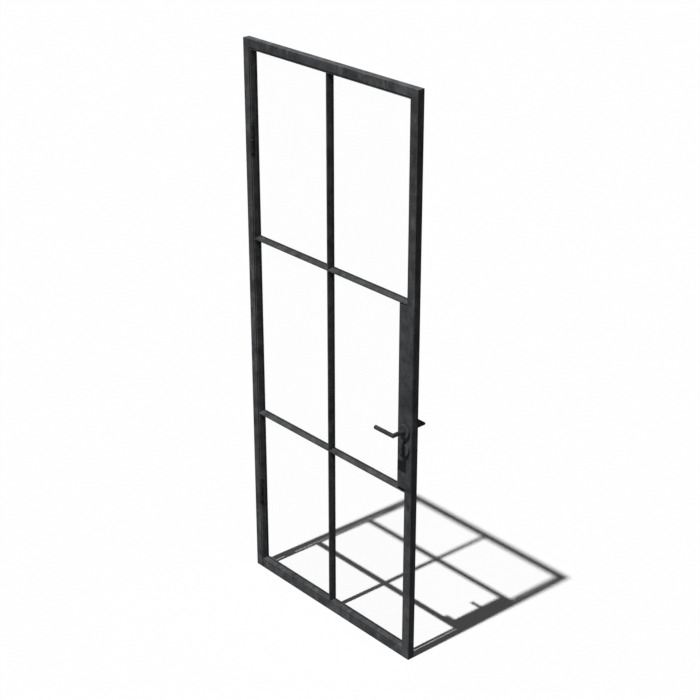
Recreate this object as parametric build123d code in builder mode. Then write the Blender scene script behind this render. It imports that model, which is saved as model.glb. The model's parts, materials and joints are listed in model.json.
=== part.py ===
"""Glazed steel door leaf in its steel tube frame, with barrel hinges and a lever lock set."""

import os

from build123d import *

os.makedirs("parts", exist_ok=True)

# Overall frame, seen from the front: x runs along the width, y from front to back, z upwards
frame_width = 904.0
frame_height = 2200.0
frame_depth = 28.0
frame_face = 30.0
sill_face = 32.0
tube_wall = 2.0

# Bars of the leaf
leaf_gap = 2.3
bar_set_back = 1.5
bar_thickness = 4.0
bar_depth = 24.0
bar_flange = 9.0
upper_transom_drop = 759.0
upper_transom_height = frame_height - upper_transom_drop
lower_transom_height = 708.5

# Glazing
glass_thickness = 4.0
glass_edge_gap = 1.0
tape_thickness = 1.0
tape_width = 7.0
bead_nose = 0.8
bead_foot = 8.0

# Barrel hinges
hinge_axis_inset = 33.0
hinge_axis_depth = 3.0
hinge_diameter = 16.0
hinge_length = 110.0
upper_hinge_drop = 371.0
hinge_heights = {"upper": frame_height - upper_hinge_drop, "lower": 364.0}
hinge_washer_diameter = 12.0
hinge_pin_diameter = 8.0
hinge_washer = 1.2
hinge_running_gap = 0.6
hinge_pocket_over = 4.0
pin_fit = 0.3

# Lock housing between the two transoms
spindle_inset = 36.0
backset = 18.5
lock_edge_gap = 3.0
housing_sheet = 1.5
housing_left = 52.5
cover_thickness = 1.5
cover_gap = 0.3
cover_side = 34.0
cover_bottom = 723.0
cover_top_gap = 5.0
cover_top = upper_transom_height - cover_top_gap
housing_bottom = 726.0
notch_margin = 1.5

# Lock case and its bolts
lever_height = 958.0
centre_distance = 72.0
case_width = 43.0
case_thickness = 15.0
case_height = 185.0
case_wall = 1.5
forend_thickness = 3.0
forend_width = 20.0
forend_over = 20.0
slide_fit = 0.3
latch_rise = 27.0
latch_size = (10.0, 20.0)
latch_throw = 10.0
latch_tail = 22.0
dead_bolt_rise = -38.0
dead_bolt_size = (10.0, 28.0)
dead_bolt_tail = 20.0
strike_thickness = 2.0
strike_margin = 2.0
strike_over = 55.0

# Lever set
rose_diameter = 52.0
rose_thickness = 7.0
rose_edge = 1.5
narrow_rose_width = 34.0
narrow_rose_height = 62.0
narrow_rose_thickness = 6.0
collar_diameter = 21.0
collar_length = 9.0
lever_diameter = 16.0
lever_reach = 50.0
grip_length = 92.0
grip_chamfer = 0.8
lever_fit = 0.4
spindle_size = 8.0
follower_diameter = 18.0

# Euro-profile cylinder
cylinder_diameter = 17.0
cylinder_leg_width = 10.0
cylinder_height = 33.0
cylinder_proud = 2.5
plug_diameter = 13.0
cam_radius = 13.0
cam_width = 8.0
cam_length = 9.0
keyway_width = 2.0
keyway_height = 8.0

# Screws
screw_diameter = 4.0
screw_head_diameter = 8.0
screw_head_height = 1.2
screw_length = 8.0
screw_fit = 0.1

# Places worked out from the sizes above
half_width = frame_width / 2
front = -frame_depth / 2
back = frame_depth / 2
bar_front = front + bar_set_back
bar_back = bar_front + bar_depth
flange_front = bar_back - bar_thickness
glass_back = flange_front - tape_thickness
glass_front = glass_back - glass_thickness
inner_left = -half_width + frame_face
inner_right = half_width - frame_face
inner_bottom = sill_face
inner_top = frame_height - frame_face
leaf_left = inner_left + leaf_gap
leaf_right = inner_right - leaf_gap
leaf_bottom = inner_bottom + leaf_gap
leaf_top = inner_top - leaf_gap
spindle_x = half_width - spindle_inset
lock_edge = spindle_x + backset
notch_face = lock_edge + lock_edge_gap
housing_x = lock_edge - housing_left
housing_top = upper_transom_height - bar_thickness / 2 - bar_flange
housing_front = front - cover_gap
housing_back = front + frame_depth - cover_thickness
cover_front = housing_front - cover_thickness
cover_left = spindle_x - cover_side
cover_right = spindle_x + cover_side
cylinder_z = lever_height - centre_distance
hinge_x = -half_width + hinge_axis_inset
hinge_y = front + hinge_axis_depth
case_front = (housing_front + housing_back) / 2 - case_thickness / 2
case_back = case_front + case_thickness
case_right = lock_edge - forend_thickness
case_left = case_right - case_width
case_bottom = cylinder_z - case_height / 3
case_top = case_bottom + case_height
latch_z = lever_height + latch_rise
dead_bolt_z = lever_height + dead_bolt_rise
bolt_y = (case_front + case_back) / 2


def save(piece, name):
    """Label a finished piece and write it."""
    piece.label = name
    export_step(piece, f"parts/{name}.step")


def box_between(x_span, y_span, z_span, mode=Mode.ADD):
    """Add a box given by its three spans."""
    centre = [(low + high) / 2 for low, high in (x_span, y_span, z_span)]
    size = [high - low for low, high in (x_span, y_span, z_span)]
    with Locations(tuple(centre)):
        Box(*size, mode=mode)


def upright_plane(y):
    """Plane at depth y whose sketch x is the door's x and whose sketch y is the door's z."""
    return Plane(origin=(0, y, 0), x_dir=(1, 0, 0), z_dir=(0, -1, 0))


def side_outline(side, rect, outer, inner):
    """Mitred trapezium of one side of a rectangle, between two insets."""
    x0, z0, x1, z1 = rect
    corners = {
        "bottom_left": lambda inset: (x0 + inset, z0 + inset),
        "top_left": lambda inset: (x0 + inset, z1 - inset),
        "top_right": lambda inset: (x1 - inset, z1 - inset),
        "bottom_right": lambda inset: (x1 - inset, z0 + inset),
    }
    first, second = {
        "left": ("bottom_left", "top_left"),
        "top": ("top_left", "top_right"),
        "right": ("top_right", "bottom_right"),
        "bottom": ("bottom_right", "bottom_left"),
    }[side]
    return [corners[first](outer), corners[second](outer), corners[second](inner), corners[first](inner)]


def mitred_bar(side, rect, outer, inner, y_span, mode=Mode.ADD):
    """Extrude one mitred side of a rectangle between two depths."""
    with BuildSketch(upright_plane(y_span[1])) as outline:
        Polygon(*side_outline(side, rect, outer, inner), align=None)
    extrude(outline.sketch, amount=y_span[1] - y_span[0], mode=mode)


def upright_cylinder(x, y, z_span, diameter, mode=Mode.ADD):
    """Cylinder along z between two heights."""
    with Locations((x, y, (z_span[0] + z_span[1]) / 2)):
        Cylinder(diameter / 2, z_span[1] - z_span[0], mode=mode)


def cross_cylinder(x, z, y_span, diameter, mode=Mode.ADD):
    """Cylinder along y between two depths."""
    with Locations(Location((x, (y_span[0] + y_span[1]) / 2, z), (90, 0, 0))):
        Cylinder(diameter / 2, y_span[1] - y_span[0], mode=mode)


def hinge_halves(height):
    """Lower span, carried by the jamb, and upper span, carried by the leaf."""
    bottom = height - hinge_length / 2
    top = height + hinge_length / 2
    return (bottom, height - hinge_washer / 2), (height + hinge_washer / 2, top)


def cut_hinge_pockets(own_half):
    """Cut the room for both barrels; the half that is welded here gets no running gap."""
    wide = hinge_diameter + 2 * hinge_running_gap
    for height in hinge_heights.values():
        lower, upper = hinge_halves(height)
        low_end = lower[0] - (0 if own_half == "lower" else hinge_pocket_over)
        high_end = upper[1] + hinge_pocket_over
        lower_wide = hinge_diameter if own_half == "lower" else wide
        upper_wide = hinge_diameter if own_half == "upper" else wide
        upright_cylinder(hinge_x, hinge_y, (low_end, upper[0]), lower_wide, Mode.SUBTRACT)
        upright_cylinder(hinge_x, hinge_y, (lower[1], upper[1]), upper_wide, Mode.SUBTRACT)
        upright_cylinder(hinge_x, hinge_y, (upper[1], high_end), wide, Mode.SUBTRACT)


# Outer frame: four mitred tubes, the sill a little taller than the others
frame_corners = {
    "left": ((-half_width, 0), (-half_width, frame_height), (inner_left, inner_top), (inner_left, inner_bottom)),
    "top": ((-half_width, frame_height), (half_width, frame_height), (inner_right, inner_top), (inner_left, inner_top)),
    "right": ((half_width, frame_height), (half_width, 0), (inner_right, inner_bottom), (inner_right, inner_top)),
    "bottom": ((half_width, 0), (-half_width, 0), (inner_left, inner_bottom), (inner_right, inner_bottom)),
}
hollow_spans = {
    "left": ((-half_width + tube_wall, inner_left - tube_wall), (-1, frame_height + 1)),
    "top": ((-half_width - 1, half_width + 1), (inner_top + tube_wall, frame_height - tube_wall)),
    "right": ((inner_right + tube_wall, half_width - tube_wall), (-1, frame_height + 1)),
    "bottom": ((-half_width - 1, half_width + 1), (tube_wall, inner_bottom - tube_wall)),
}


def frame_tube(side):
    """One mitred rectangular tube of the outer frame."""
    with BuildSketch(upright_plane(back)) as outline:
        Polygon(*frame_corners[side], align=None)
    extrude(outline.sketch, amount=frame_depth)
    x_span, z_span = hollow_spans[side]
    box_between(x_span, (front + tube_wall, back - tube_wall), z_span, Mode.SUBTRACT)


with BuildPart() as frame_jamb_hinge:
    frame_tube("left")
    cut_hinge_pockets("lower")
save(frame_jamb_hinge.part, "frame_jamb_hinge")

# Lock jamb: a capped tube above and below, and between them a channel that the housing reaches into.
# Two strips close the channel's mouth above and below the strike plate.
notch_bottom = housing_bottom - notch_margin
notch_top = housing_top + notch_margin
strike_back = notch_face + strike_thickness
strike_x = (notch_face, strike_back)
strike_z = (dead_bolt_z - strike_over, latch_z + strike_over)
strike_y = (front + tube_wall, back - tube_wall)
with BuildPart() as jamb_above:
    frame_tube("right")
    split(bisect_by=Plane.XY.offset(notch_top), keep=Keep.TOP)
    box_between((inner_right, half_width), (front, back), (notch_top, notch_top + tube_wall))
with BuildPart() as jamb_below:
    frame_tube("right")
    split(bisect_by=Plane.XY.offset(notch_bottom), keep=Keep.BOTTOM)
    box_between((inner_right, half_width), (front, back), (notch_bottom - tube_wall, notch_bottom))
with BuildPart() as jamb_channel:
    box_between((notch_face, half_width), (front, back), (notch_bottom, notch_top))
    channel_inside = (notch_face - 1, half_width - tube_wall)
    box_between(channel_inside, strike_y, (notch_bottom - 1, notch_top + 1), Mode.SUBTRACT)
with BuildPart() as strip_below:
    box_between(strike_x, strike_y, (notch_bottom, strike_z[0]))
with BuildPart() as strip_above:
    box_between(strike_x, strike_y, (strike_z[1], notch_top))
jamb_pieces = (jamb_below, jamb_channel, jamb_above, strip_below, strip_above)
save(Compound(children=[piece.part.solid() for piece in jamb_pieces]), "frame_jamb_lock")

with BuildPart() as frame_head:
    frame_tube("top")
save(frame_head.part, "frame_head")

with BuildPart() as frame_sill:
    frame_tube("bottom")
save(frame_sill.part, "frame_sill")

# Strike plate with a mortise for each bolt


def bolt_window(z, size, margin, x_span):
    """Cut a rectangular window for a bolt of this size."""
    thick, tall = size
    y_span = (bolt_y - thick / 2 - margin, bolt_y + thick / 2 + margin)
    z_span = (z - tall / 2 - margin, z + tall / 2 + margin)
    box_between(x_span, y_span, z_span, Mode.SUBTRACT)


strike_screw_heights = (latch_z + 40, (latch_z + dead_bolt_z) / 2, dead_bolt_z - 40)
strike_through = (notch_face - 1, strike_back + 1)
with BuildPart() as strike_plate:
    box_between(strike_x, strike_y, strike_z)
    bolt_window(latch_z, latch_size, strike_margin, strike_through)
    bolt_window(dead_bolt_z, dead_bolt_size, strike_margin, strike_through)
    for z in strike_screw_heights:
        with Locations(Location((strike_back, bolt_y, z), (0, 90, 0))):
            Cylinder(screw_diameter / 2 + screw_fit, 4 * strike_thickness, mode=Mode.SUBTRACT)
save(strike_plate.part, "strike_plate")

# Hinges: the lower barrel is welded to the jamb, the upper one to the leaf, with a washer between
for place, height in hinge_heights.items():
    lower, upper = hinge_halves(height)
    with BuildPart() as jamb_barrel:
        upright_cylinder(hinge_x, hinge_y, lower, hinge_diameter)
        chamfer(jamb_barrel.edges().filter_by(GeomType.CIRCLE), 0.8)
        pin_seat = (lower[0] + 8, lower[1])
        upright_cylinder(hinge_x, hinge_y, pin_seat, hinge_pin_diameter, Mode.SUBTRACT)
    save(jamb_barrel.part, f"hinge_{place}_jamb_barrel")

    with BuildPart() as leaf_barrel:
        upright_cylinder(hinge_x, hinge_y, upper, hinge_diameter)
        chamfer(leaf_barrel.edges().filter_by(GeomType.CIRCLE), 0.8)
        pin_room = (upper[0], upper[1] - 8)
        upright_cylinder(hinge_x, hinge_y, pin_room, hinge_pin_diameter + 2 * pin_fit, Mode.SUBTRACT)
    save(leaf_barrel.part, f"hinge_{place}_leaf_barrel")

    with BuildPart() as hinge_pin:
        upright_cylinder(hinge_x, hinge_y, (lower[0] + 8, upper[1] - 8 - pin_fit), hinge_pin_diameter)
        chamfer(hinge_pin.edges().sort_by(Axis.Z)[-1], 0.8)
    save(hinge_pin.part, f"hinge_{place}_pin")

    with BuildPart() as hinge_ring:
        upright_cylinder(hinge_x, hinge_y, (lower[1], upper[0] - pin_fit), hinge_washer_diameter)
        upright_cylinder(hinge_x, hinge_y, (lower[1] - 1, upper[0] + 1), hinge_pin_diameter + pin_fit, Mode.SUBTRACT)
    save(hinge_ring.part, f"hinge_{place}_washer")

# Leaf: angle bars round the edge, tee bars between the panes
leaf_rect = (leaf_left, leaf_bottom, leaf_right, leaf_top)
web_depth = (bar_front, bar_back)
flange_depth = (flange_front, bar_back)
flange_inset = bar_thickness + bar_flange


def edge_bar(side):
    """One mitred angle bar of the leaf's edge."""
    mitred_bar(side, leaf_rect, 0, bar_thickness, web_depth)
    mitred_bar(side, leaf_rect, bar_thickness, flange_inset, flange_depth)


with BuildPart() as leaf_stile_hinge:
    edge_bar("left")
    cut_hinge_pockets("upper")
save(leaf_stile_hinge.part, "leaf_stile_hinge")

with BuildPart() as leaf_rail_top:
    edge_bar("top")
save(leaf_rail_top.part, "leaf_rail_top")

with BuildPart() as leaf_rail_bottom:
    edge_bar("bottom")
save(leaf_rail_bottom.part, "leaf_rail_bottom")

stile_cuts = {
    "leaf_stile_lock_upper": (leaf_bottom - 1, housing_top),
    "leaf_stile_lock_lower": (housing_bottom, leaf_top + 1),
}
for name, cut_span in stile_cuts.items():
    with BuildPart() as lock_stile:
        edge_bar("right")
        box_between((leaf_right - 60, leaf_right + 1), (front, back), cut_span, Mode.SUBTRACT)
    save(lock_stile.part, name)

web_half = bar_thickness / 2
flange_half = web_half + bar_flange
web_y = (bar_front, flange_front)
with BuildPart() as mullion:
    z_web = (leaf_bottom + bar_thickness, leaf_top - bar_thickness)
    z_flange = (leaf_bottom + flange_inset, leaf_top - flange_inset)
    box_between((-web_half, web_half), web_y, z_web)
    box_between((-flange_half, flange_half), flange_depth, z_flange)
save(mullion.part, "mullion")

transom_heights = {"upper": upper_transom_height, "lower": lower_transom_height}
transom_ends = {
    "left": ((leaf_left + bar_thickness, -web_half), (leaf_left + flange_inset, -flange_half)),
    "right": ((web_half, leaf_right - bar_thickness), (flange_half, leaf_right - flange_inset)),
}
for level, height in transom_heights.items():
    for hand, (x_web, x_flange) in transom_ends.items():
        with BuildPart() as transom:
            box_between(x_web, web_y, (height - web_half, height + web_half))
            box_between(x_flange, flange_depth, (height - flange_half, height + flange_half))
        save(transom.part, f"transom_{level}_{hand}")

# Lock housing: a folded sheet channel with a cover on each face, and an angle that holds the pane
angle_web = (housing_x - bar_thickness, housing_x)
angle_flange = (housing_x - flange_inset, housing_x)
with BuildPart() as lock_housing_angle:
    z_web = (lower_transom_height + web_half, upper_transom_height - web_half)
    z_flange = (lower_transom_height + flange_half, upper_transom_height - flange_half)
    box_between(angle_web, web_y, z_web)
    box_between(angle_flange, flange_depth, z_flange)
save(lock_housing_angle.part, "lock_housing_angle")

forend_bottom = case_bottom - forend_over
forend_top = case_top + forend_over
forend_y = (bolt_y - forend_width / 2, bolt_y + forend_width / 2)
with BuildPart() as lock_housing:
    z_span = (housing_bottom, housing_top)
    box_between((housing_x, lock_edge), (housing_front, housing_back), z_span)
    inner_x = (housing_x + housing_sheet, lock_edge - housing_sheet)
    inner_z = (housing_bottom + housing_sheet, housing_top - housing_sheet)
    box_between(inner_x, (housing_front - 1, housing_back + 1), inner_z, Mode.SUBTRACT)
    forend_room = (lock_edge - housing_sheet - 1, lock_edge + 1)
    box_between(forend_room, forend_y, (forend_bottom, forend_top), Mode.SUBTRACT)
save(lock_housing.part, "lock_housing")


def cylinder_outline(extra, y_span, mode):
    """Pear-shaped section of the cylinder, a circle over a narrow leg, grown by extra."""
    cross_cylinder(spindle_x, cylinder_z, y_span, cylinder_diameter + 2 * extra, mode)
    leg_bottom = cylinder_z + cylinder_diameter / 2 - cylinder_height - extra
    half_leg = cylinder_leg_width / 2 + extra
    box_between((spindle_x - half_leg, spindle_x + half_leg), y_span, (leg_bottom, cylinder_z), mode)


with BuildPart() as lock_cover_front:
    box_between((cover_left, cover_right), (cover_front, housing_front), (cover_bottom, cover_top))
    fillet(lock_cover_front.edges().filter_by(Axis.Y), 1.0)
    through = (cover_front - 1, housing_front + 1)
    cross_cylinder(spindle_x, lever_height, through, collar_diameter + 2 * lever_fit, Mode.SUBTRACT)
    cylinder_outline(slide_fit, through, Mode.SUBTRACT)
save(lock_cover_front.part, "lock_cover_front")

with BuildPart() as lock_cover_back:
    box_between((housing_x, lock_edge), (housing_back, back), (housing_bottom, housing_top))
    through = (housing_back - 1, back + 1)
    cross_cylinder(spindle_x, lever_height, through, collar_diameter + 2 * lever_fit, Mode.SUBTRACT)
    cylinder_outline(slide_fit, through, Mode.SUBTRACT)
save(lock_cover_back.part, "lock_cover_back")

# Lock case: a shallow sheet box behind the forend, open where the spindle and cylinder pass
forend_span = (case_right, lock_edge)
with BuildPart() as lock_forend:
    box_between(forend_span, forend_y, (forend_bottom, forend_top))
    through = (case_right - 1, lock_edge + 1)
    bolt_window(latch_z, latch_size, slide_fit, through)
    bolt_window(dead_bolt_z, dead_bolt_size, slide_fit, through)
save(lock_forend.part, "lock_forend")

with BuildPart() as lock_case:
    box_between((case_left, case_right), (case_front, case_back), (case_bottom, case_top))
    inner_x = (case_left + case_wall, case_right + 1)
    inner_z = (case_bottom + case_wall, case_top - case_wall)
    box_between(inner_x, (case_front + case_wall, case_back - case_wall), inner_z, Mode.SUBTRACT)
    through = (case_front - 1, case_back + 1)
    cross_cylinder(spindle_x, lever_height, through, follower_diameter - 4, Mode.SUBTRACT)
    cylinder_outline(slide_fit, through, Mode.SUBTRACT)
save(lock_case.part, "lock_case")

# Bolts: the latch has a bevelled tip that faces the closing side, the dead bolt is square
latch_tip = lock_edge + latch_throw
with BuildPart() as latch_bolt:
    thick, tall = latch_size
    y_span = (bolt_y - thick / 2, bolt_y + thick / 2)
    z_span = (latch_z - tall / 2, latch_z + tall / 2)
    box_between((case_right - latch_tail, latch_tip), y_span, z_span)
    bevel = latch_bolt.edges().filter_by(Axis.Z).sort_by(Axis.X)[-2:].sort_by(Axis.Y)[-1]
    chamfer(bevel, length=latch_throw - 1, length2=thick - 1.5)
save(latch_bolt.part, "latch_bolt")

with BuildPart() as dead_bolt:
    thick, tall = dead_bolt_size
    y_span = (bolt_y - thick / 2, bolt_y + thick / 2)
    z_span = (dead_bolt_z - tall / 2, dead_bolt_z + tall / 2)
    box_between((case_right - dead_bolt_tail, lock_edge), y_span, z_span)
save(dead_bolt.part, "dead_bolt")

# Cylinder: the body has a slot in the middle where the cam turns with the plug
face_front = cover_front - rose_thickness
face_back = back + narrow_rose_thickness
cylinder_y = (face_front - cylinder_proud, face_back + cylinder_proud)
cam_y = (bolt_y - cam_length / 2, bolt_y + cam_length / 2)
cam_room = (cam_y[0] - slide_fit, cam_y[1] + slide_fit)
with BuildPart() as cylinder_body:
    cylinder_outline(0, cylinder_y, Mode.ADD)
    room = 2 * (cam_radius + slide_fit)
    cross_cylinder(spindle_x, cylinder_z, cam_room, room, Mode.SUBTRACT)
    bore = plug_diameter + 2 * slide_fit
    cross_cylinder(spindle_x, cylinder_z, (cylinder_y[0] - 1, cylinder_y[1] + 1), bore, Mode.SUBTRACT)
save(cylinder_body.part, "cylinder_body")

with BuildPart() as cylinder_plug:
    cross_cylinder(spindle_x, cylinder_z, cylinder_y, plug_diameter)
    half_cam = cam_width / 2
    cam_reach = (cam_radius**2 - half_cam**2) ** 0.5
    cam_z = (cylinder_z - cam_reach, cylinder_z)
    box_between((spindle_x - half_cam, spindle_x + half_cam), cam_y, cam_z)
    half_key = keyway_width / 2
    key_z = (cylinder_z - keyway_height / 2, cylinder_z + keyway_height / 2)
    key_x = (spindle_x - half_key, spindle_x + half_key)
    box_between(key_x, (cylinder_y[0] - 1, cylinder_y[0] + 10), key_z, Mode.SUBTRACT)
    box_between(key_x, (cylinder_y[1] - 10, cylinder_y[1] + 1), key_z, Mode.SUBTRACT)
save(cylinder_plug.part, "cylinder_plug")

# Roses and escutcheons: round on the wide front cover, narrow ovals on the back
def front_rose(z):
    """Round disc with a soft front edge."""
    cross_cylinder(spindle_x, z, (face_front, cover_front), rose_diameter)


def narrow_rose(z):
    """Oval plate that stays on the narrow lock edge of the leaf."""
    with BuildSketch(upright_plane(face_back)) as oval:
        with Locations((spindle_x, z)):
            SlotOverall(narrow_rose_height, narrow_rose_width, rotation=90)
    extrude(oval.sketch, amount=narrow_rose_thickness)


collar_hole = collar_diameter + 2 * lever_fit
with BuildPart() as rose_front:
    front_rose(lever_height)
    fillet(rose_front.edges().group_by(Axis.Y)[0], rose_edge)
    through = (face_front - 1, cover_front + 1)
    cross_cylinder(spindle_x, lever_height, through, collar_hole, Mode.SUBTRACT)
save(rose_front.part, "rose_front")

with BuildPart() as escutcheon_front:
    front_rose(cylinder_z)
    fillet(escutcheon_front.edges().group_by(Axis.Y)[0], rose_edge)
    cylinder_outline(slide_fit, (face_front - 1, cover_front + 1), Mode.SUBTRACT)
save(escutcheon_front.part, "escutcheon_front")

with BuildPart() as rose_back:
    narrow_rose(lever_height)
    fillet(rose_back.edges().group_by(Axis.Y)[-1], rose_edge)
    through = (back - 1, face_back + 1)
    cross_cylinder(spindle_x, lever_height, through, collar_hole, Mode.SUBTRACT)
save(rose_back.part, "rose_back")

with BuildPart() as escutcheon_back:
    narrow_rose(cylinder_z)
    fillet(escutcheon_back.edges().group_by(Axis.Y)[-1], rose_edge)
    cylinder_outline(slide_fit, (back - 1, face_back + 1), Mode.SUBTRACT)
save(escutcheon_back.part, "escutcheon_back")


def lever(face, outward):
    """Round bar lever with a mitred corner: a collar in the rose, a neck and a grip towards the hinges."""
    seat = face - outward * rose_thickness * 0.8
    collar_end = face + outward * collar_length
    elbow = face + outward * lever_reach
    cross_cylinder(spindle_x, lever_height, sorted((seat, collar_end)), collar_diameter)
    with BuildLine() as centre_line:
        Polyline(
            (spindle_x, collar_end, lever_height),
            (spindle_x, elbow, lever_height),
            (spindle_x - grip_length, elbow, lever_height),
        )
    path = centre_line.wire()
    with BuildSketch(Plane(origin=path @ 0, z_dir=path % 0)) as section:
        Circle(lever_diameter / 2)
    bar = sweep(section.sketch, path=path, transition=Transition.RIGHT)
    chamfer(bar.edges().filter_by(GeomType.CIRCLE).sort_by(Axis.X)[0], grip_chamfer)


socket = spindle_size + 2 * 0.1
with BuildPart() as lever_front:
    lever(face_front, -1)
    half_socket = socket / 2
    socket_x = (spindle_x - half_socket, spindle_x + half_socket)
    socket_z = (lever_height - half_socket, lever_height + half_socket)
    box_between(socket_x, (face_front - collar_length, face_front + rose_thickness), socket_z, Mode.SUBTRACT)
save(lever_front.part, "lever_front")

with BuildPart() as lever_back:
    lever(face_back, 1)
    box_between(socket_x, (face_back - rose_thickness, face_back + collar_length), socket_z, Mode.SUBTRACT)
save(lever_back.part, "lever_back")

half_spindle = spindle_size / 2
spindle_faces_x = (spindle_x - half_spindle, spindle_x + half_spindle)
spindle_faces_z = (lever_height - half_spindle, lever_height + half_spindle)
with BuildPart() as spindle:
    spindle_y = (face_front - collar_length, face_back + collar_length)
    box_between(spindle_faces_x, spindle_y, spindle_faces_z)
save(spindle.part, "spindle")

with BuildPart() as lock_follower:
    follower_y = (case_front + case_wall + slide_fit, case_back - case_wall - slide_fit)
    cross_cylinder(spindle_x, lever_height, follower_y, follower_diameter)
    box_between(spindle_faces_x, follower_y, spindle_faces_z, Mode.SUBTRACT)
save(lock_follower.part, "lock_follower")

# Glazing: each of the six fields has a pane, four mitred beads in front and a tape behind
leaf_web_left = leaf_left + bar_thickness
leaf_web_right = leaf_right - bar_thickness
columns = {"left": (leaf_web_left, -web_half), "right": (web_half, leaf_web_right)}
rows = {
    "top": (upper_transom_height + web_half, leaf_top - bar_thickness),
    "middle": (lower_transom_height + web_half, upper_transom_height - web_half),
    "bottom": (leaf_bottom + bar_thickness, lower_transom_height - web_half),
}
for row, (z_low, z_high) in rows.items():
    for column, (x_low, x_high) in columns.items():
        beside_lock = row == "middle" and column == "right"
        x_end = angle_web[0] if beside_lock else x_high
        field = (x_low, z_low, x_end, z_high)

        with BuildPart() as pane:
            gap = glass_edge_gap
            x_span = (x_low + gap, x_end - gap)
            box_between(x_span, (glass_front, glass_back), (z_low + gap, z_high - gap))
        save(pane.part, f"pane_{row}_{column}")

        with BuildPart() as tape:
            for side in ("left", "top", "right", "bottom"):
                inner = glass_edge_gap + tape_width
                mitred_bar(side, field, glass_edge_gap, inner, (glass_back, flange_front))
        save(tape.part, f"glazing_tape_{row}_{column}")

        strips = []
        for side in ("left", "top", "right", "bottom"):
            with BuildPart() as strip:
                with BuildSketch(upright_plane(bar_front)):
                    Polygon(*side_outline(side, field, 0, bead_nose), align=None)
                with BuildSketch(upright_plane(glass_front)):
                    Polygon(*side_outline(side, field, 0, bead_foot), align=None)
                loft(ruled=True)
                if column == "left" and side == "left":
                    wide = hinge_diameter + 2 * hinge_running_gap
                    for height in hinge_heights.values():
                        lower, upper = hinge_halves(height)
                        room = (lower[0] - hinge_pocket_over, upper[1] + hinge_pocket_over)
                        upright_cylinder(hinge_x, hinge_y, room, wide, Mode.SUBTRACT)
            strips.append(strip.part.solid())
        save(Compound(children=strips), f"glazing_beads_{row}_{column}")


# Screws: pan heads on the covers and on the strike, each a solid of its own
def screw_pointing(x, y, z, direction):
    """Pan-head screw with its head's seat at x, y, z and its shank along direction."""
    with BuildPart() as screw:
        with BuildSketch(Plane(origin=(x, y, z), z_dir=direction)):
            Circle(screw_diameter / 2)
        extrude(amount=screw_length)
        with BuildSketch(Plane(origin=(x, y, z), z_dir=direction)):
            Circle(screw_head_diameter / 2)
        extrude(amount=-screw_head_height)
    return screw.part.solid()


strike_screws = [screw_pointing(notch_face, bolt_y, z, (1, 0, 0)) for z in strike_screw_heights]
save(Compound(children=strike_screws), "strike_screws")
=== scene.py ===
import json
import math

import bpy
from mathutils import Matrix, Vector


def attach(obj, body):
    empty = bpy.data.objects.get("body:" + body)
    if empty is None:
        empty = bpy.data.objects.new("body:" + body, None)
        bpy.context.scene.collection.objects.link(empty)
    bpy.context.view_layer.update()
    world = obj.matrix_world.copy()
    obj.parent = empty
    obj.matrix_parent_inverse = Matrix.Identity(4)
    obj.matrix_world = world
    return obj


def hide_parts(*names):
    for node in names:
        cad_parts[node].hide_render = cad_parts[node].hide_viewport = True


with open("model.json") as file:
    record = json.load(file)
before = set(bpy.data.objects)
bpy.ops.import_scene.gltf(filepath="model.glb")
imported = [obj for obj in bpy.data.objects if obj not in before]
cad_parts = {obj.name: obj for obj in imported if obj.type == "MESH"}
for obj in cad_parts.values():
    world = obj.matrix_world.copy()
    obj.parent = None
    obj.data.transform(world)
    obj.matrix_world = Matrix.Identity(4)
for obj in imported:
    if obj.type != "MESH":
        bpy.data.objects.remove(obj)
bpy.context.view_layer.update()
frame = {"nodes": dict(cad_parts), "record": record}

# Camera of the photograph: metres and degrees, with the lens and its sensor in millimetres
CAMERA_PLACE = (4.1441, -3.5771, 3.6736)
CAMERA_PITCH = 65.014
CAMERA_YAW = 48.456
CAMERA_REACH = 200.0
LENS = 84.9
SENSOR = 36.0

# Light, with its spread in degrees: a sun from the front and above, a faint sky, and a floor that glows
SUN_TRAVEL = (0.011, 0.3875, -1.0)
SUN_STRENGTH = 3.15
SUN_SPREAD = 0.9
SKY_STRENGTH = 0.06
BACKDROP_STRENGTH = 1.0
FLOOR_GLOW = 0.12
FLOOR_SIZE = 60.0

# Finishes, as linear colours
WHITE = (1.0, 1.0, 1.0)
STEEL_DARK = (0.047, 0.049, 0.052)
STEEL_LIGHT = (0.110, 0.113, 0.118)
STEEL_SCUFF = (0.190, 0.193, 0.198)
# Painted shade: the near-black laid into corners and gaps where shade falls
PAINTED_SHADE_TONE = (0.010, 0.010, 0.011)
# Beads: the coated steel's tones taken darker as painted shade on the beads' sloped faces
BEAD_SHADED_DARK = (0.036, 0.038, 0.040)
BEAD_SHADED_LIGHT = (0.084, 0.086, 0.090)
SET_DARK = (0.030, 0.031, 0.033)
SET_LIGHT = (0.066, 0.068, 0.071)
BARE_STEEL = (0.38, 0.38, 0.37)
BARE_STEEL_WORN = (0.50, 0.50, 0.49)
TAPE_BLACK = (0.022, 0.022, 0.023)
TAPE_GREY = (0.032, 0.032, 0.034)
GLASS_TINT = (0.90, 0.95, 0.93)

# Coated steels by what they cover: name, dark and light tone, roughness, grain, wear, reach of the painted
# shade in corners
COATED_STEELS = {
    "painted_steel": ("matt_dark_steel", STEEL_DARK, STEEL_LIGHT, 0.50, 900.0, 0.8, 0.007),
    "outer_frame": ("rubbed_dark_steel", STEEL_DARK, STEEL_LIGHT, 0.54, 900.0, 1.5, 0.007),
    # The beads' darker tones are painted shade, not a different coating
    "beads": ("bead_dark_steel", BEAD_SHADED_DARK, BEAD_SHADED_LIGHT, 0.52, 900.0, 0.6, 0.007),
    "roses": ("rose_dark_steel", STEEL_DARK, STEEL_LIGHT, 0.44, 1400.0, 0.5, 0.014),
    "lever_set_black": ("satin_dark_steel", SET_DARK, SET_LIGHT, 0.38, 1400.0, 0.35, 0.016),
}

# Starts of the names of CAD nodes whose finish is not the one of their slot
OWN_FINISHES = {"frame_": "outer_frame", "glazing_beads_": "beads", "rose_": "roses", "escutcheon_": "roses"}

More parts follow.
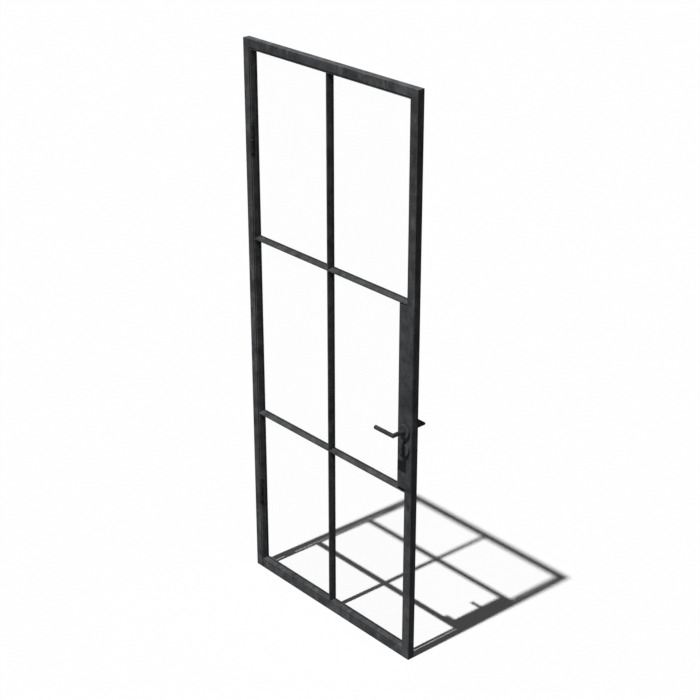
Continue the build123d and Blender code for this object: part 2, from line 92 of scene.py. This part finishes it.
# How much each pattern of the coated steel tells, and how much the smears break up a rubbed edge
CLOUD_SHARE = 0.7
DRIFT_SHARE = 0.3
SMEAR_SHARE = 0.6
SPECK_SHARE = 0.5
RUB_SHARE = 0.8
RUB_BREAK = 0.5
# How far the painted shade darkens corners and gaps
PAINTED_SHADE_SHARE = 0.9

# Coated steel: width of a rubbed edge in metres, and shine of the coating
RUB_WIDTH = 0.0015
COATING_SPECULAR = 0.04

# Roughness of the finishes, and how far a pattern moves it
ROUGHNESS_SPREAD = 0.2
DRAWN_ROUGHNESS = 0.28
TAPE_ROUGHNESS = 0.9
GLASS_ROUGHNESS = 0.01
GLASS_ROUGHNESS_SPREAD = 0.03

# Glass: refraction, and how far the pane and its haze can be seen
GLASS_IOR = 1.52
GLASS_ALPHA = 0.006
HAZE_ALPHA = 0.006

# Patterns stretched up and down the door: clouds of the coating, and drawing lines of bare steel
EVEN = (1, 1, 1)
TALL = (1, 1, 0.5)
DRAWN = (1, 1, 0.04)

# Nodes that feel for edges and corners
BEVEL_SAMPLES = 6
CORNER_SAMPLES = 8
EDGE_GAIN = 2.0

# Colour sockets of a Mix node, whose names are not unique
MIX_FACTOR = 0
MIX_FIRST = 6
MIX_SECOND = 7
MIX_RESULT = 2

# Hinge barrels, in metres: each has a solid end, and its bore's tool stands a little out of the open end
HINGE_AXIS = (-0.419, -0.011)
HINGE_HEIGHTS = (0.364, 1.829)
BARREL_RADIUS = 0.008
BARREL_LENGTH = 0.0544
BARREL_GAP = 0.0012
BARREL_EDGE = 0.0008
BARREL_END = 0.008
BARREL_MIDDLE = (BARREL_LENGTH + BARREL_GAP) / 2
JAMB_BORE = 0.0040
LEAF_BORE = 0.0043
BORE_OVER = 0.001
UP = 1.0
DOWN = -1.0

# Share of a barrel's length beyond which only its end rings lie
END_RINGS = 0.4

# Strike screws, in metres, and the turn that points their heads towards the leaf
SCREW_FIRST = (0.4375, -0.0009, 0.880)
SCREW_STEP = (0.0, 0.0, 0.0725)
SCREW_COUNT = 3
SCREW_SIZES = {"Head": 0.004, "Head Height": 0.0012, "Shank": 0.002, "Shank Length": 0.008, "Slot": 0.0008}
SCREW_TURN = (0.0, -math.pi / 2, 0.0)

# Screw head, in shares: how far up its ball the dome ends, and how far and how high the recess's tool stands
DOME_RISE = 0.72
RECESS_REACH = 1.05
RECESS_HEIGHT = 0.95

# Sides and steps of the round bars
BARREL_FACES = (96, 3)
BORE_FACES = (64, 1)
HEAD_FACES = (64, 8)
SHANK_FACES = (48, 1)


class Value:
    """A node's output as a number in an expression, where each operator adds its own Math node."""

    def __init__(self, graph, socket):
        self.graph = graph
        self.socket = socket

    def _math(self, operation, *operands, clamp=False):
        """Add a Math node to the value's own graph."""
        settings = {"operation": operation, "use_clamp": clamp}
        return self.graph.node("ShaderNodeMath", settings, dict(enumerate(operands)))

    def __add__(self, other):
        return self._math("ADD", self, other)

    __radd__ = __add__

    def __mul__(self, other):
        return self._math("MULTIPLY", self, other)

    __rmul__ = __mul__

    def __sub__(self, other):
        return self._math("SUBTRACT", self, other)

    def __rsub__(self, other):
        return self._math("SUBTRACT", other, self)

    def __truediv__(self, other):
        return self._math("DIVIDE", self, other)

    def __rtruediv__(self, other):
        return self._math("DIVIDE", other, self)

    def root(self):
        """The square root."""
        return self._math("SQRT", self)

    def unsigned(self):
        """The same value without its sign."""
        return self._math("ABSOLUTE", self)

    def sign(self):
        """Minus one, nought or one."""
        return self._math("SIGN", self)

    def beyond(self, limit):
        """One where the value is over the limit, nought elsewhere."""
        return self._math("GREATER_THAN", self, limit)

    def clamped(self):
        """The same value kept between 0 and 1."""
        return self._math("ADD", self, 0.0, clamp=True)


class Graph:
    """A node tree: of a material, of the sky or of a shape."""

    def __init__(self, tree):
        self.tree = tree

    def node(self, kind, settings, inputs, output=0):
        """Add a node: settings first, then a value, a link or a list of links for each socket named.

        Gives one of its outputs, where it has any.
        """
        made = self.tree.nodes.new(kind)
        for key, value in settings.items():
            setattr(made, key, value)
        for key, value in inputs.items():
            for item in value if isinstance(value, list) else [value]:
                if isinstance(item, Value):
                    self.tree.links.new(item.socket, made.inputs[key])
                else:
                    made.inputs[key].default_value = item
        return Value(self, made.outputs[output]) if made.outputs else None

    def backdrop_seen(self):
        """One for the rays that show the white backdrop: camera, glossy and transmission rays."""
        kinds = ("Is Camera Ray", "Is Glossy Ray", "Is Transmission Ray")
        camera_ray, glossy, through = (self.node("ShaderNodeLightPath", {}, {}, kind) for kind in kinds)
        return (camera_ray + glossy + through).clamped()


class Recipe(Graph):
    """A Geometry Nodes tree for a piece that repeats, with named sizes and places in metres."""

    def __init__(self, name, numbers, places, count):
        super().__init__(bpy.data.node_groups.new(name, "GeometryNodeTree"))
        self.values = {}
        kinds = {"NodeSocketFloat": numbers, "NodeSocketVector": places, "NodeSocketInt": {"Count": count}}
        for kind, named in kinds.items():
            for key, value in named.items():
                self.values[self.opening(key, "INPUT", kind).identifier] = value
        self.opening("Geometry", "OUTPUT", "NodeSocketGeometry")

    def opening(self, name, way, kind):
        """Add a socket to the tree's own interface."""
        return self.tree.interface.new_socket(name=name, in_out=way, socket_type=kind)

    def given(self, name):
        """One of the tree's named inputs."""
        return self.node("NodeGroupInput", {}, {}, name)

    def point(self, x, y, z):
        """A place or a size from its three numbers."""
        return self.node("ShaderNodeCombineXYZ", {}, {0: x, 1: y, 2: z})

    def round_bar(self, faces, radius, length):
        """Closed round bar about the Z axis."""
        sides, steps = faces
        sockets = {"Vertices": sides, "Side Segments": steps, "Radius": radius, "Depth": length}
        return self.node("GeometryNodeMeshCylinder", {"fill_type": "NGON"}, sockets, "Mesh")

    def raised(self, shape, height):
        """A shape moved along the Z axis."""
        sockets = {"Geometry": shape, "Translation": self.point(0.0, 0.0, height)}
        return self.node("GeometryNodeTransform", {}, sockets)

    def reshaped(self, shape, rule):
        """Every point of a shape moved to where a rule on x, y and z puts it."""
        at = self.node("GeometryNodeInputPosition", {}, {})
        axes = (self.node("ShaderNodeSeparateXYZ", {}, {0: at}, axis) for axis in range(3))
        sockets = {"Geometry": shape, "Position": self.point(*rule(*axes))}
        return self.node("GeometryNodeSetPosition", {}, sockets)

    def cut(self, shape, tool):
        """A shape with a tool's room taken out of it."""
        settings = {"operation": "DIFFERENCE", "solver": "EXACT"}
        return self.node("GeometryNodeMeshBoolean", settings, {"Mesh 1": shape, "Mesh 2": tool}, "Mesh")

    def row(self, shape, turn=(0.0, 0.0, 0.0)):
        """Copies of a shape in a straight row."""
        sockets = {"Count": "Count", "Start Location": "First", "Offset": "Step"}
        sockets = {socket: self.given(name) for socket, name in sockets.items()}
        points = self.node("GeometryNodeMeshLine", {"mode": "OFFSET"}, sockets)
        sockets = {"Points": points, "Instance": shape, "Rotation": turn}
        return self.node("GeometryNodeInstanceOnPoints", {}, sockets)

    def make(self, shape, material, body, slot, *replaced):
        """Turn the recipe into one plain mesh that rides on a body and stands for its CAD nodes."""
        solid = self.node("GeometryNodeRealizeInstances", {}, {"Geometry": shape})
        dressed = self.node("GeometryNodeSetMaterial", {}, {"Geometry": solid, "Material": material})
        self.node("NodeGroupOutput", {}, {"Geometry": dressed})
        name = self.tree.name
        blank = bpy.data.objects.new(name + "_blank", bpy.data.meshes.new(name + "_blank"))
        bpy.context.collection.objects.link(blank)
        modifier = blank.modifiers.new(name, "NODES")
        modifier.node_group = self.tree
        for identifier, value in self.values.items():
            modifier[identifier] = value
        blank.update_tag()
        seen = blank.evaluated_get(bpy.context.evaluated_depsgraph_get())
        made = bpy.data.objects.new(name, bpy.data.meshes.new_from_object(seen))
        made.data.name = name
        bpy.context.collection.objects.link(made)
        blank.modifiers.remove(modifier)
        bpy.data.objects.remove(blank)
        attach(made, body)
        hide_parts(*replaced)


class Finish(Graph):
    """One material and the nodes that make it."""

    def __init__(self, name):
        self.material = bpy.data.materials.new(name)
        self.material.use_nodes = True
        super().__init__(self.material.node_tree)
        self.tree.nodes.clear()
        self.place = self.node("ShaderNodeTexCoord", {}, {}, "Object")

    def noise(self, scale, detail, roughness, stretch=EVEN):
        """Noise on object coordinates, stretched along an axis where wanted."""
        moved = self.node("ShaderNodeMapping", {}, {"Vector": self.place, "Scale": stretch})
        sockets = {"Vector": moved, "Scale": scale, "Detail": detail, "Roughness": roughness}
        return self.node("ShaderNodeTexNoise", {}, sockets, "Fac")

    def band(self, value, low, high):
        """Map a value from low..high to 0..1."""
        sockets = {"Value": value, "From Min": low, "From Max": high}
        return self.node("ShaderNodeMapRange", {"clamp": True}, sockets)

    def blend(self, factor, first, second):
        """Mix two colours."""
        settings = {"data_type": "RGBA", "clamp_factor": True}
        sockets = {MIX_FACTOR: factor, MIX_FIRST: opaque(first), MIX_SECOND: opaque(second)}
        return self.node("ShaderNodeMix", settings, sockets, MIX_RESULT)

    def edge(self, width):
        """How near an outer edge a point lies, from 0 on a flat face."""
        rounded = self.node("ShaderNodeBevel", {"samples": BEVEL_SAMPLES}, {"Radius": width}, "Normal")
        flat = self.node("ShaderNodeNewGeometry", {}, {}, "Normal")
        settings = {"operation": "DOT_PRODUCT"}
        facing = self.node("ShaderNodeVectorMath", settings, {0: rounded, 1: flat}, "Value")
        return (1 - facing) * EDGE_GAIN

    def corner(self, reach):
        """How deep in a corner a point lies, from 0 in the open to 1."""
        settings = {"samples": CORNER_SAMPLES}
        return 1 - self.node("ShaderNodeAmbientOcclusion", settings, {"Distance": reach}, "AO")

    def bump(self, height, strength, distance):
        """Bump from a height."""
        sockets = {"Height": height, "Strength": strength, "Distance": distance}
        return self.node("ShaderNodeBump", {}, sockets, "Normal")

    def surface(self, **inputs):
        """Finish with a Principled surface, whose sockets are named with underscores for spaces."""
        sockets = {key.replace("_", " "): value for key, value in inputs.items()}
        return self.close(self.node("ShaderNodeBsdfPrincipled", {}, sockets))

    def close(self, shader):
        """Link a shader to the material's output."""
        self.node("ShaderNodeOutputMaterial", {}, {"Surface": shader})
        return self.material


def opaque(colour):
    """A colour with its alpha, as a socket takes it; a link stays as it is."""
    return colour if isinstance(colour, Value) else (*colour, 1.0)


def coated_steel(name, dark, light, roughness, grain, wear, shade_reach):
    """Thin matt coating over steel: soft clouds, dull scuffs, fine specks and rubbed edges, with painted
    shade darkening its corners and gaps.
    """
    finish = Finish(name)
    clouds = finish.noise(scale=20.0, detail=4.0, roughness=0.6)
    drift = finish.noise(scale=3.5, detail=2.0, roughness=0.5, stretch=TALL)
    smears = finish.noise(scale=30.0, detail=4.0, roughness=0.65, stretch=TALL)
    specks = finish.noise(scale=300.0, detail=1.0, roughness=0.5)
    peel = finish.noise(scale=grain, detail=2.0, roughness=0.5)
    tone = finish.band(clouds * CLOUD_SHARE + drift * DRIFT_SHARE, low=0.37, high=0.61)
    coating = finish.blend(tone, dark, light)
    rubbed = finish.band(finish.edge(RUB_WIDTH) + smears * RUB_BREAK, low=0.34, high=0.62) * RUB_SHARE
    smeared = finish.band(smears, low=0.50, high=0.70) * SMEAR_SHARE
    specked = finish.band(specks, low=0.60, high=0.72) * SPECK_SHARE
    worn = finish.blend(((smeared + specked + rubbed) * wear).clamped(), coating, STEEL_SCUFF)
    # Painted shade: corners and gaps found by ambient occlusion turn towards near-black, as if shade fell
    # there
    painted_shade = finish.band(finish.corner(shade_reach), low=0.25, high=0.75) * PAINTED_SHADE_SHARE
    return finish.surface(
        Base_Color=finish.blend(painted_shade, worn, PAINTED_SHADE_TONE),
        Roughness=(smears * ROUGHNESS_SPREAD + roughness).clamped(),
        Metallic=0.0,
        Specular_IOR_Level=COATING_SPECULAR,
        Normal=finish.bump(peel, strength=0.18, distance=0.0004),
    )


def drawn_steel(name):
    """Zinc-plated steel with fine drawing lines."""
    finish = Finish(name)
    lines = finish.noise(scale=220.0, detail=2.0, roughness=0.5, stretch=DRAWN)
    patches = finish.noise(scale=30.0, detail=3.0, roughness=0.6)
    return finish.surface(
        Base_Color=finish.blend(finish.band(patches, low=0.35, high=0.65), BARE_STEEL, BARE_STEEL_WORN),
        Roughness=(lines * ROUGHNESS_SPREAD + DRAWN_ROUGHNESS).clamped(),
        Metallic=1.0,
        Normal=finish.bump(lines, strength=0.1, distance=0.0002),
    )


def foam_tape(name):
    """Closed-cell glazing tape."""
    finish = Finish(name)
    cells = finish.noise(scale=900.0, detail=2.0, roughness=0.6)
    return finish.surface(
        Base_Color=finish.blend(finish.band(cells, low=0.4, high=0.6), TAPE_BLACK, TAPE_GREY),
        Roughness=TAPE_ROUGHNESS,
        Normal=finish.bump(cells, strength=0.3, distance=0.0004),
    )


def clear_pane(name):
    """Very clear float glass: a breath of green and of haze, with a faint ripple."""
    finish = Finish(name)
    ripple = finish.noise(scale=3.0, detail=2.0, roughness=0.5)
    haze = finish.noise(scale=14.0, detail=3.0, roughness=0.6)
    return finish.surface(
        Base_Color=opaque(GLASS_TINT),
        Roughness=(haze * GLASS_ROUGHNESS_SPREAD + GLASS_ROUGHNESS).clamped(),
        IOR=GLASS_IOR,
        Alpha=(haze * HAZE_ALPHA + GLASS_ALPHA).clamped(),
        Normal=finish.bump(ripple, strength=0.05, distance=0.001),
    )


def all_finishes():
    """Every finish of the door, by what it covers."""
    finishes = {use: coated_steel(*steel) for use, steel in COATED_STEELS.items()}
    finishes["bare_steel"] = drawn_steel("zinc_plated_steel")
    finishes["clear_glass"] = clear_pane("clear_float_glass")
    finishes["glazing_tape"] = foam_tape("black_glazing_tape")
    return finishes


def use_of(part):
    """What a CAD node's finish goes by: the start of its name, or else its slot in the record."""
    own = [use for start, use in OWN_FINISHES.items() if part["node"].startswith(start)]
    return own[0] if own else part["material_slot"]


def finish_nodes(finishes):
    """Put its finish on each CAD node."""
    for part in frame["record"]["subparts"]:
        slots = frame["nodes"][part["node"]].data.materials
        slots.clear()
        slots.append(finishes[use_of(part)])


def hinge_barrels(name, middle, bore, open_end, material, body):
    """The two barrels of one half of the hinges: turned bars with a broken edge and a bore for the pin."""
    lower, upper = HINGE_HEIGHTS
    numbers = {"Radius": BARREL_RADIUS, "Length": BARREL_LENGTH, "Edge": BARREL_EDGE}
    numbers |= {"Bore": bore, "Bore Depth": BARREL_LENGTH - BARREL_END, "Open End": open_end}
    places = {"First": (*HINGE_AXIS, lower + middle), "Step": (0, 0, upper - lower)}
    recipe = Recipe(name, numbers, places, len(HINGE_HEIGHTS))
    radius, length, edge = recipe.given("Radius"), recipe.given("Length"), recipe.given("Edge")

    def broken_edge(x, y, z):
        """The end rings drawn in, and the rings next to them moved out to where the edge starts."""
        at_end = z.unsigned().beyond(length * END_RINGS)
        narrowed = 1 - at_end * edge / radius
        level = z * at_end + z.sign() * (length * 0.5 - edge) * (1 - at_end)
        return x * narrowed, y * narrowed, level

    bar = recipe.reshaped(recipe.round_bar(BARREL_FACES, radius, length), broken_edge)
    depth = recipe.given("Bore Depth")
    drill = recipe.round_bar(BORE_FACES, recipe.given("Bore"), depth + BORE_OVER)
    drill = recipe.raised(drill, (length - depth + BORE_OVER) * 0.5 * recipe.given("Open End"))
    nodes = [f"hinge_{place}_{name}" for place in ("lower", "upper")]
    recipe.make(recipe.row(recipe.cut(bar, drill)), material, body, "painted_steel", *nodes)


def strike_screws(material):
    """Pan-head screws of the strike plate, each with a crossed recess."""
    places = {"First": SCREW_FIRST, "Step": SCREW_STEP}
    recipe = Recipe("pan_head_screws", SCREW_SIZES, places, SCREW_COUNT)
    head, height, slot = recipe.given("Head"), recipe.given("Head Height"), recipe.given("Slot")

    def dome(x, y, z):
        """The bar's side follows a ball from its equator upwards, and its foot stands at nought."""
        rise = (z / height) * DOME_RISE + DOME_RISE / 2
        narrowed = (1 - rise * rise).root()
        return x * narrowed, y * narrowed, z + height * 0.5

    cap = recipe.reshaped(recipe.round_bar(HEAD_FACES, head, height), dome)
    reach = head * RECESS_REACH
    for size in ((reach, slot, height), (slot, reach, height)):
        blade = recipe.node("GeometryNodeMeshCube", {}, {"Size": recipe.point(*size)}, "Mesh")
        cap = recipe.cut(cap, recipe.raised(blade, height * RECESS_HEIGHT))
    length = recipe.given("Shank Length")
    shank = recipe.raised(recipe.round_bar(SHANK_FACES, recipe.given("Shank"), length), length * -0.5)
    screw = recipe.node("GeometryNodeJoinGeometry", {}, {"Geometry": [cap, shank]})
    recipe.make(recipe.row(screw, SCREW_TURN), material, "frame", "bare_steel", "strike_screws")


def pale_floor():
    """White floor that keeps the shadow, and gives the sides of the door a soft light from below."""
    bpy.ops.mesh.primitive_plane_add(size=FLOOR_SIZE)
    floor = bpy.context.object
    floor.name = "floor"
    finish = Finish("pale_floor")
    white = finish.node("ShaderNodeBsdfDiffuse", {}, {"Color": opaque(WHITE)})
    glow = finish.node("ShaderNodeEmission", {}, {"Strength": FLOOR_GLOW})
    mixed = finish.node("ShaderNodeMixShader", {}, {0: finish.backdrop_seen(), 1: glow, 2: white})
    floor.data.materials.append(finish.close(mixed))


def light():
    """Sun, and a sky that is faint to the door and white to the camera."""
    lamp = bpy.data.lights.new("sun", "SUN")
    lamp.energy = SUN_STRENGTH
    lamp.angle = math.radians(SUN_SPREAD)
    sun = bpy.data.objects.new("sun", lamp)
    sun.rotation_euler = Vector(SUN_TRAVEL).to_track_quat("-Z", "Y").to_euler()
    bpy.context.collection.objects.link(sun)
    world = bpy.data.worlds.new("sky")
    bpy.context.scene.world = world
    world.use_nodes = True
    world.node_tree.nodes.clear()
    sky = Graph(world.node_tree)
    strengths = (SKY_STRENGTH, BACKDROP_STRENGTH)
    sockets = ({"Color": opaque(WHITE), "Strength": strength} for strength in strengths)
    dim, bright = (sky.node("ShaderNodeBackground", {}, named) for named in sockets)
    mixed = sky.node("ShaderNodeMixShader", {}, {0: sky.backdrop_seen(), 1: dim, 2: bright})
    sky.node("ShaderNodeOutputWorld", {}, {"Surface": mixed})


def camera():
    """Camera at the photograph's place and angle."""
    data = bpy.data.cameras.new("camera")
    data.lens = LENS
    data.sensor_width = SENSOR
    data.clip_end = CAMERA_REACH
    made = bpy.data.objects.new("camera", data)
    made.location = CAMERA_PLACE
    made.rotation_euler = (math.radians(CAMERA_PITCH), 0.0, math.radians(CAMERA_YAW))
    bpy.context.collection.objects.link(made)
    bpy.context.scene.camera = made


camera()
light()
pale_floor()
finishes = all_finishes()
finish_nodes(finishes)
hinge_barrels("jamb_barrel", -BARREL_MIDDLE, JAMB_BORE, UP, finishes["lever_set_black"], "frame")
hinge_barrels("leaf_barrel", BARREL_MIDDLE, LEAF_BORE, DOWN, finishes["lever_set_black"], "leaf")
strike_screws(finishes["bare_steel"])
bpy.context.scene.view_settings.view_transform = "Standard"
